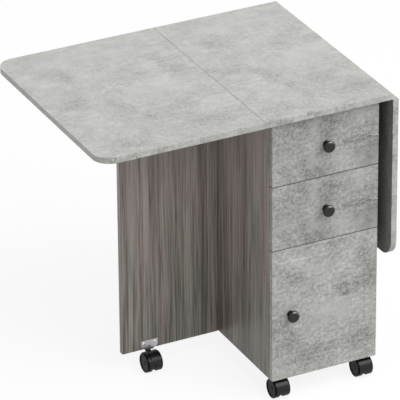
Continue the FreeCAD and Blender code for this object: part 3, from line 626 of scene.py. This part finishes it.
def wood_print(name, axes, taped_edge=None):
    """A wood print whose grain runs along the third axis.

    A taped edge is given by the way into the board and by where the board starts that way.
    """
    material, place = new_finish(name, IOR=RESIN_IOR)
    local = place.measured(Vector((0, 0, 0)), axes)
    wander = local.stretched((1, 1, 0.35)).noise(WANDERS_PER_METRE, 2, 0.5, "Color").moved(HALF_GREY)
    swayed = local.vector_maths("ADD", wander.stretched((SWAY, SWAY, 0)))
    grain = swayed.stretched((1, 1, GRAIN_LENGTHENING))
    height = place.vector_maths("DOT_PRODUCT", Z, "Value")
    bands = swayed.stretched((1, 1, 0.10)).noise(BANDS_PER_METRE, 2, 0.5)
    band = (bands + height * MAUVE_PER_METRE).rise(0.58, 0.80)
    broad = lumps(grain.moved((2, 8, 0)), BROAD_STREAKS_PER_METRE, 2)
    streak = lumps(grain, STREAKS_PER_METRE, 3)
    line = lumps(grain.moved((5, 5, 0)), LINES_PER_METRE, 2)
    hair = grain.moved((7, 3, 0)).noise(HAIRS_PER_METRE, 2, 0.6)
    hearts = swayed.moved((9, 0, 0)).stretched((1, 1, 0.05)).noise(HEARTS_PER_METRE, 2, 0.5)
    heart = hearts.rise(0.58, 0.70)
    pore = local.stretched((1, 1, 0.03)).noise(PORES_PER_METRE, 1, 0.5).rise(0.60, 0.70)
    fine = (line - 0.5) * 0.46 + (hair - 0.5) * 0.7 - pore * 0.08
    # Painted light: the tone grows paler towards the top.
    coarse = FOOT_TONE + height * PAINTED_LIGHT_PER_METRE + (broad - 0.5) * 0.24 + (streak - 0.5) * 0.28
    tone = coarse + fine - heart * 0.20
    if taped_edge:
        inward, start = taped_edge
        inset = place.vector_maths("DOT_PRODUCT", inward, "Value") - start
        # The narrow edge is paler tape print and also a painted highlight; a thin darker line runs beside it.
        tape_and_highlight = inset.rise(1.2 * MM, 0.8 * MM)
        seam = inset.rise(4 * MM, 2 * MM) - tape_and_highlight
        tone = tone + tape_and_highlight * 0.16 - seam * 0.24
    dark = band.between(OLIVE_SHADES[0], MAUVE_SHADES[0])
    light = band.between(OLIVE_SHADES[1], MAUVE_SHADES[1])
    set_sockets(
        material,
        Base_Color=tone.between(dark, light),
        Roughness=0.46 + (line - 0.5) * 0.16,
        Normal=(hair - pore).bump(0.2, RESIN_RELIEF),
    )
    return material


print("wood print ready")

# %% Wooden boards
SIDE_GRAIN_WIDTH = 0.65

upright_wood = wood_print("upright_wood", (X, Y, Z))
side_wood = wood_print("side_wood", (X, Y * SIDE_GRAIN_WIDTH, Z))
deep_wood = wood_print("deep_wood", (X, Z, Y))
cross_wood = wood_print("cross_wood", (Y, Z, X))
wear(upright_wood, "back_panel")
wear(side_wood, "left_side_panel", "right_side_panel")
left_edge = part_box("left_gate_panel")[0].x
wear(wood_print("left_gate_wood", (X, Y, Z), (X, left_edge)), "left_gate_panel")
right_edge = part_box("right_gate_panel")[1].y
wear(wood_print("right_gate_wood", (X, Y, Z), (-Y, -right_edge)), "right_gate_panel")
wear(deep_wood, "bottom_panel", "divider_shelf")
wear(cross_wood, "top_stretchers")
print("cabinet dressed")

# %% [markdown]
# ## Drawer boxes
# Drawer sides and backs are plain pale melamine with a faint linen weave, and the bases are painted
# hardboard, smooth above with a soft fibre mottle. Both are quiet, but a flat grey would look like paper, so
# fine noise breaks the tone and the gloss.

# %% Melamine and hardboard
MELAMINE_DARK = (0.43, 0.42, 0.40)
MELAMINE_LIGHT = (0.58, 0.57, 0.55)
HARDBOARD_DARK = (0.45, 0.43, 0.39)
HARDBOARD_LIGHT = (0.64, 0.62, 0.58)


def melamine():
    material, place = new_finish("pale_melamine", IOR=RESIN_IOR)
    warp = place.stretched((1, 1, 0.05)).noise(700, 2, 0.5)
    weft = place.stretched((0.05, 0.05, 1)).noise(700, 2, 0.5)
    weave = (warp + weft) * 0.5
    tone = weave * 0.6 + place.noise(9, 3, 0.5) * 0.4
    set_sockets(
        material,
        Base_Color=tone.between(MELAMINE_DARK, MELAMINE_LIGHT),
        Roughness=0.42 + (weave - 0.5) * 0.3,
        Normal=weave.bump(0.15, RESIN_RELIEF),
    )
    return material


def hardboard():
    material, place = new_finish("painted_hardboard", IOR=RESIN_IOR)
    fibre = place.noise(260, 4, 0.7)
    tone = fibre * 0.6 + place.noise(12, 3, 0.5) * 0.4
    set_sockets(
        material,
        Base_Color=tone.between(HARDBOARD_DARK, HARDBOARD_LIGHT),
        Roughness=0.55 + (fibre - 0.5) * 0.3,
        Normal=fibre.bump(0.2, RESIN_RELIEF),
    )
    return material


pale_melamine = melamine()
painted_hardboard = hardboard()
for level in LEVELS:
    wear(pale_melamine, f"{level}_drawer_sides", f"{level}_drawer_back")
    wear(painted_hardboard, f"{level}_drawer_base")
print("drawer boxes dressed")

# %% [markdown]
# ## Plated steel
# Hinges are nickel plated. Runners, gate brackets, caster plates and axles are zinc plated. Both are metals
# with small differences of gloss: nickel is fine and even, zinc has a faint crystal pattern. Cell noise gives
# the crystals.

# %% Nickel and zinc
SIDES = ("left", "right")
WORN_SHARE = 0.72


def plated(name, colour, roughness, crystal):
    """A plated metal. The crystal size is in millimetres."""
    material, place = new_finish(name, Metallic=1.0)
    inputs = {"Vector": place, "Scale": 1 / (crystal * MM)}
    cells = place.node("ShaderNodeTexVoronoi", {"feature": "F1"}, inputs, "Color")
    shade = cells.vector_maths("DOT_PRODUCT", (1 / 3, 1 / 3, 1 / 3), "Value")
    scuff = place.noise(300, 3, 0.6)
    tone = shade * 0.5 + scuff * 0.5
    darker = tuple(WORN_SHARE * part for part in colour)
    set_sockets(
        material,
        Base_Color=tone.between(darker, colour),
        Roughness=roughness + (scuff - 0.5) * 0.25 + (shade - 0.5) * 0.08,
        Normal=scuff.bump(0.1, 0.05 * MM),
    )
    return material


nickel = plated("nickel_plate", (0.70, 0.69, 0.67), roughness=0.28, crystal=1.2)
sheet_zinc = plated("zinc_sheet", (0.66, 0.67, 0.68), roughness=0.38, crystal=4.0)
bright_zinc = plated("bright_zinc", (0.55, 0.55, 0.555), roughness=0.34, crystal=2.5)
wear(nickel, "leaf_hinge_plates", "leaf_hinge_pins", "gate_hinge_plates", "gate_hinge_pins")
wear(nickel, "door_hinge_arms", "door_hinge_cups", "door_hinge_pins")
for side in SIDES:
    wear(nickel, f"{side}_leaf_hinge_flaps", f"{side}_gate_hinge_flaps")
    wear(bright_zinc, f"{side}_gate_bracket")
wear(sheet_zinc, "cabinet_runners", "upper_drawer_rails", "lower_drawer_rails")
wear(bright_zinc, "caster_plates")
print("steel dressed")

# %% [markdown]
# ## Black lacquer and nylon
# Knobs are turned metal under charcoal lacquer, with faint turning rings on the face. Their necks are painted
# near black as shade, and a clear coat only on the upper right of each bevel puts a painted highlight there.
# Casters are glossy black nylon. Moulded nylon is never one black: the gloss wanders a little, and the wheels
# pick up grey dust.

# %% Knobs
FACE_DARK = (0.020, 0.020, 0.020)
FACE_LIGHT = (0.042, 0.042, 0.040)
NECK_PAINTED_SHADE = (0.003, 0.003, 0.003)
HIGHLIGHT_SIDE = Vector((0.64, 0.77, 0))
RING_PITCH = 0.7 * MM


def charcoal_lacquer(name, front_centre):
    """Lacquer about the middle of a knob's face, with painted shade on its neck and a painted highlight on its
    bevel.
    """
    material, place = new_finish(name, Specular_IOR_Level=0.2, Coat_IOR=2.0, Coat_Roughness=0.22)
    local = place.measured(front_centre, (X, Z, Y))
    radius = local.stretched((1, 1, 0)).vector_maths("LENGTH", output="Value")
    depth = local.vector_maths("DOT_PRODUCT", Z, "Value")
    # Painted highlight: the clear coat is kept to the upper right of the bevel, where the lamps glint.
    highlight_side = local.vector_maths("DOT_PRODUCT", HIGHLIGHT_SIDE, "Value")
    turns = radius * (2 * math.pi / RING_PITCH)
    rings = turns.maths("SINE", turns)
    speck = local.noise(1800, 2, 0.6)
    # Painted shade: the neck behind the face is near black.
    shaded_neck = depth.rise(3 * MM, 6 * MM)
    rim = radius.rise(11.2 * MM, 12.2 * MM) * depth.rise(4 * MM, 2.5 * MM)
    set_sockets(
        material,
        Base_Color=shaded_neck.between(speck.between(FACE_DARK, FACE_LIGHT), NECK_PAINTED_SHADE),
        Roughness=0.36 + (speck - 0.5) * 0.3,
        Coat_Weight=rim * highlight_side.rise(6 * MM, 12 * MM),
        Normal=(rings + speck).bump(0.12, 0.05 * MM),
    )
    return material


for name in ("upper_drawer_knob", "lower_drawer_knob", "door_knob"):
    low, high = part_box(name)
    middle = (low + high) / 2
    wear(charcoal_lacquer(f"{name}_lacquer", Vector((middle.x, low.y, middle.z))), name)
print("knobs dressed")

# %% Casters
CASTERS = ("front_left", "front_right", "rear_left", "rear_right", "left_gate", "right_gate")
NYLON_BLACK = (0.008, 0.008, 0.0085)
DUST_GREY = (0.070, 0.069, 0.066)


def black_nylon(name, gloss, dust):
    material, place = new_finish(name, Specular_IOR_Level=gloss)
    haze = place.noise(160, 3, 0.6)
    film = place.noise(60, 4, 0.65).rise(0.45, 0.75) * dust
    set_sockets(
        material,
        Base_Color=film.between(NYLON_BLACK, DUST_GREY),
        Roughness=0.26 + (haze - 0.5) * 0.25 + film * 0.4,
        Normal=haze.bump(0.08, 0.1 * MM),
    )
    return material


hood_nylon = black_nylon("hood_nylon", gloss=0.30, dust=0.05)
wheel_nylon = black_nylon("wheel_nylon", gloss=0.06, dust=0.08)
for caster in CASTERS:
    wear(hood_nylon, f"{caster}_caster_hood")
    wear(wheel_nylon, f"{caster}_caster_wheels")
    wear(bright_zinc, f"{caster}_caster_axle")
for side in SIDES:
    wear(hood_nylon, f"{side}_gate_caster_lever")
print("casters dressed")

# %% [markdown]
# ## Soft edges
# No real board has a knife edge: edge tape is trimmed with a small round-over, and that round-over catches
# the light. The solids have sharp corners, so each board gets a Bevel modifier. Their corners come unjoined,
# so a Weld comes first, and a Weighted Normal keeps the wide faces flat after it.

# %% Round-overs
BOARD_EDGE = 0.7 * MM
SHEET_EDGE = 0.25 * MM
WELD_REACH = 0.01 * MM
SHARP_EDGE = math.radians(40)


def soften(width, *names):
    """Rounds the sharp edges of pieces with modifiers."""
    for name in names:
        weld = shown[name].modifiers.new("weld", "WELD")
        weld.merge_threshold = WELD_REACH
        bevel = shown[name].modifiers.new("bevel", "BEVEL")
        bevel.width = width
        bevel.segments = 2
        bevel.limit_method = "ANGLE"
        bevel.angle_limit = SHARP_EDGE
        bevel.harden_normals = False
        normals = shown[name].modifiers.new("normals", "WEIGHTED_NORMAL")
        normals.keep_sharp = False


boards = [
    "left_side_panel", "right_side_panel", "bottom_panel", "back_panel", "divider_shelf", "top_stretchers",
    "centre_top", "left_leaf_board", "right_leaf_board", "left_gate_panel", "right_gate_panel", "door_panel",
]
for level in LEVELS:
    boards += [f"{level}_drawer_{piece}" for piece in ("front", "sides", "back")]
soften(BOARD_EDGE, *boards)
soften(SHEET_EDGE, "cabinet_runners", "upper_drawer_rails", "lower_drawer_rails")
print(f"{len(boards)} boards softened")

# %% [markdown]
# ## Screw heads
# Brackets, caster plates, hinges, runners and knobs are held by small cross-head screws. A head is turned, so
# its outline is spun round an axis, and a tapered cross is cut out of it with a Boolean. Three heads are
# enough: a tall pan head where there is room, a low head for plates and runners, and a nearly flush one for
# hinges that fold flat. They are made in millimetres.

# %% Spin and cross
HEAD_STEPS = 24
CROSS_HALF_WIDTH = 0.45
CROSS_TAPER = 0.6
SAME_POINT = 0.001


def as_mesh(name, shape):
    mesh = bpy.data.meshes.new(name)
    shape.to_mesh(mesh)
    shape.free()
    return mesh


def spun(outline):
    """A closed mesh from pairs of radius and height, spun round Z."""
    shape = bmesh.new()
    corners = [shape.verts.new((radius, 0, height)) for radius, height in outline]
    sides = [shape.edges.new(pair) for pair in zip(corners, corners[1:])]
    turn = {"cent": (0, 0, 0), "axis": Z, "angle": 2 * math.pi, "steps": HEAD_STEPS, "use_merge": True}
    bmesh.ops.spin(shape, geom=corners + sides, **turn)
    bmesh.ops.remove_doubles(shape, verts=shape.verts, dist=SAME_POINT)
    bmesh.ops.recalc_face_normals(shape, faces=shape.faces)
    return as_mesh("spun", shape)


def cross_prism(arm, top, bottom):
    """A cross that narrows downwards, to be cut out of a head."""
    shape = bmesh.new()
    rings = []
    for height, share in ((top, 1.0), (bottom, CROSS_TAPER)):
        reach = arm * share
        half = CROSS_HALF_WIDTH * share
        outline = ((reach, -half), (reach, half), (half, half))
        quarter = [Vector((x, y, height)) for x, y in outline]
        turns = [Matrix.Rotation(number * math.pi / 2, 3, "Z") for number in range(4)]
        rings.append([shape.verts.new(turn @ corner) for turn in turns for corner in quarter])
    upper, lower = rings
    shape.faces.new(upper)
    shape.faces.new(reversed(lower))
    for number in range(len(upper)):
        shape.faces.new((upper[number - 1], lower[number - 1], lower[number], upper[number]))
    bmesh.ops.recalc_face_normals(shape, faces=shape.faces)
    return as_mesh("cross", shape)


print("spin and cross ready")

# %% Three heads
SUNK = -0.1
CROSS_CLEARANCE = 0.1
PAN_HEAD = [(0, 2.2), (1.7, 2.1), (3.0, 1.7), (3.9, 1.0), (4.2, 0.3), (4.2, SUNK), (0, SUNK)]
LOW_HEAD = [(0, 1.2), (1.5, 1.12), (2.6, 0.85), (3.2, 0.5), (3.4, 0.2), (3.4, SUNK), (0, SUNK)]
FLUSH_HEAD = [(0, 0.4), (1.5, 0.37), (2.4, 0.27), (2.8, 0.1), (2.9, 0.0), (2.9, SUNK), (0, SUNK)]


def cut_from(mesh, tool):
    """The first mesh without the second, by a Boolean on two passing objects."""
    pair = [bpy.data.objects.new(part.name, part) for part in (mesh, tool)]
    for thing in pair:
        bpy.context.scene.collection.objects.link(thing)
    cutting = pair[0].modifiers.new("cross", "BOOLEAN")
    cutting.operation = "DIFFERENCE"
    cutting.solver = "EXACT"
    cutting.object = pair[1]
    result = bpy.data.meshes.new_from_object(pair[0].evaluated_get(bpy.context.evaluated_depsgraph_get()))
    for thing in pair:
        bpy.data.objects.remove(thing)
    return result


def cross_head(outline, arm, depth):
    """A screw head whose cross is this deep under its top."""
    top = outline[0][1]
    return cut_from(spun(outline), cross_prism(arm, top + CROSS_CLEARANCE, top - depth))


pan_head = cross_head(PAN_HEAD, arm=2.3, depth=1.3)
low_head = cross_head(LOW_HEAD, arm=1.9, depth=0.8)
flush_head = cross_head(FLUSH_HEAD, arm=1.6, depth=0.35)
print("screw heads with", [len(head.polygons) for head in (pan_head, low_head, flush_head)], "faces")

# %% [markdown]
# ## Driving the screws
# Instances could share one head, but each group of screws rides on its own body, so its heads are copied into
# one mesh. Every head is turned a little further than the last, as a hand leaves them. Places are in
# millimetres and follow the holes and plates of the solids.

# %% Copies of a head
TURN_STEP = 0.7
HEAD_CREASE = math.radians(35)
screw_zinc = plated("screw_zinc", (0.90, 0.90, 0.89), roughness=0.24, crystal=1.0)


def spots(xs, ys, zs):
    """Every meeting of these places along X, Y and Z, in millimetres."""
    return [Vector(spot) for spot in itertools.product(xs, ys, zs)]


def about(middle, half):
    """The two places that lie this far from the middle."""
    return (middle - half, middle + half)


def drive(name, body, head, facing, places):
    """Sets copies of a head on places of one body, all facing one way."""
    group = bmesh.new()
    upright = facing.to_track_quat("Z", "Y").to_matrix().to_4x4()
    for number, place in enumerate(places):
        before = len(group.verts)
        group.from_mesh(head)
        group.verts.ensure_lookup_table()
        turn = Matrix.Rotation(number * TURN_STEP, 4, "Z") @ Matrix.Scale(MM, 4)
        seat = Matrix.Translation(place * MM) @ upright @ turn
        bmesh.ops.transform(group, matrix=seat, verts=group.verts[before:])
    mesh = as_mesh(name, group)
    mesh.shade_smooth()
    mesh.set_sharp_from_angle(angle=HEAD_CREASE)
    mesh.materials.append(screw_zinc)
    screws = bpy.data.objects.new(name, mesh)
    bpy.context.scene.collection.objects.link(screws)
    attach(screws, body)
    print(f"{name}: {len(places)} on {body}")


print("ready to drive screws")

# %% Screws of caster plates and gate brackets
CASTER_AXES = ((92, -238.5), (322, -238.5), (145, 243.5), (269, 243.5))
PLATE_HALF_PITCH = 13
PLATE_UNDERSIDE = 55
BRACKET_HALF_PITCH = 15
BRACKET_SCREW_Z = 75
LEFT_BRACKET_X = -128.5
LEFT_BRACKET_FACE = 7.5
RIGHT_BRACKET_Y = 216.5
RIGHT_BRACKET_FACE = 372.5

plate_places = []
for x, y in CASTER_AXES:
    plate_places += spots(about(x, PLATE_HALF_PITCH), about(y, PLATE_HALF_PITCH), [PLATE_UNDERSIDE])
drive("caster_plate_screws", "cabinet", low_head, -Z, plate_places)
places = spots(about(LEFT_BRACKET_X, BRACKET_HALF_PITCH), [LEFT_BRACKET_FACE], [BRACKET_SCREW_Z])
drive("left_bracket_screws", "left_gate", pan_head, -Y, places)
places = spots([RIGHT_BRACKET_FACE], about(RIGHT_BRACKET_Y, BRACKET_HALF_PITCH), [BRACKET_SCREW_Z])
drive("right_bracket_screws", "right_gate", pan_head, X, places)

# %% Screws of the leaf hinges
LEAF_HINGE_MIDDLES = (-217.5, 2.5, 222.5)
LEAF_HINGE_HALF_PITCH = 20
LEAF_PLATE_XS = (49.75, 364.25)
LEAF_HINGE_UNDERSIDE = 756.8
LEFT_FLAP_X = 23.25
RIGHT_FLAP_FACE = 376.8
RIGHT_FLAP_Z = 744.25

leaf_ys = [y for middle in LEAF_HINGE_MIDDLES for y in about(middle, LEAF_HINGE_HALF_PITCH)]
places = spots(LEAF_PLATE_XS, leaf_ys, [LEAF_HINGE_UNDERSIDE])
drive("leaf_plate_screws", "cabinet", flush_head, -Z, places)
places = spots([LEFT_FLAP_X], leaf_ys, [LEAF_HINGE_UNDERSIDE])
drive("left_leaf_flap_screws", "left_leaf", flush_head, -Z, places)
places = spots([RIGHT_FLAP_FACE], leaf_ys, [RIGHT_FLAP_Z])
drive("right_leaf_flap_screws", "right_leaf", flush_head, -X, places)

# %% Screws of the gate hinges
GATE_HINGE_MIDDLES = (147, 406, 665)
GATE_HINGE_HALF_PITCH = 16
GATE_PLATE_Y = 39.7
LEFT_GATE_PLATE_FACE = 62.3
RIGHT_GATE_PLATE_FACE = 351.7
LEFT_GATE_FLAP_X = 48.3
LEFT_GATE_FLAP_FACE = 25.7
RIGHT_GATE_FLAP_FACE = 354.3

gate_zs = [z for middle in GATE_HINGE_MIDDLES for z in about(middle, GATE_HINGE_HALF_PITCH)]
places = spots([LEFT_GATE_PLATE_FACE], [GATE_PLATE_Y], gate_zs)
drive("left_gate_plate_screws", "cabinet", flush_head, -X, places)
places = spots([RIGHT_GATE_PLATE_FACE], [GATE_PLATE_Y], gate_zs)
drive("right_gate_plate_screws", "cabinet", flush_head, X, places)
places = spots([LEFT_GATE_FLAP_X], [LEFT_GATE_FLAP_FACE], gate_zs)
drive("left_gate_flap_screws", "left_gate", flush_head, Y, places)
places = spots([RIGHT_GATE_FLAP_FACE], [GATE_PLATE_Y], gate_zs)
drive("right_gate_flap_screws", "right_gate", flush_head, -X, places)

# %% Screws of runners and knobs
SLIDE_ZS = {"upper": 664, "lower": 492}
CHANNEL_YS = (-230, -40, 150)
LEFT_CHANNEL_FACE = 79.7
RIGHT_CHANNEL_FACE = 334.3
RAIL_YS = (-215, -25, 135)
LEFT_RAIL_FACE = 90.3
RIGHT_RAIL_FACE = 323.7
KNOB_ZS = {"upper": 671.5, "lower": 499.5}
DRAWER_KNOB_X = 207
DOOR_KNOB_X = 112.5
DOOR_KNOB_Z = 234.5
FRONT_INSIDE = -263.5

places = spots([LEFT_CHANNEL_FACE], CHANNEL_YS, SLIDE_ZS.values())
drive("left_channel_screws", "cabinet", low_head, X, places)
places = spots([RIGHT_CHANNEL_FACE], CHANNEL_YS, SLIDE_ZS.values())
drive("right_channel_screws", "cabinet", low_head, -X, places)
for level, slide_z in SLIDE_ZS.items():
    body = f"{level}_drawer"
    places = spots([LEFT_RAIL_FACE], RAIL_YS, [slide_z])
    drive(f"{level}_left_rail_screws", body, low_head, -X, places)
    places = spots([RIGHT_RAIL_FACE], RAIL_YS, [slide_z])
    drive(f"{level}_right_rail_screws", body, low_head, X, places)
    places = spots([DRAWER_KNOB_X], [FRONT_INSIDE], [KNOB_ZS[level]])
    drive(f"{level}_knob_screw", body, pan_head, Y, places)
places = spots([DOOR_KNOB_X], [FRONT_INSIDE], [DOOR_KNOB_Z])
drive("door_knob_screw", "door", pan_head, Y, places)

# %% Screws of the door hinges
DOOR_HINGE_MIDDLES = (127, 342)
ARM_HALF_PITCH = 7
ARM_FACE = 333.5
ARM_SCREW_Y = -221.5
CUP_HALF_PITCH = 8
CUP_SCREW_X = 323
CUP_FACE = -262.7

arm_zs = [z for middle in DOOR_HINGE_MIDDLES for z in about(middle, ARM_HALF_PITCH)]
cup_zs = [z for middle in DOOR_HINGE_MIDDLES for z in about(middle, CUP_HALF_PITCH)]
places = spots([ARM_FACE], [ARM_SCREW_Y], arm_zs)
drive("hinge_arm_screws", "cabinet", low_head, -X, places)
places = spots([CUP_SCREW_X], [CUP_FACE], cup_zs)
drive("hinge_cup_screws", "door", low_head, Y, places)
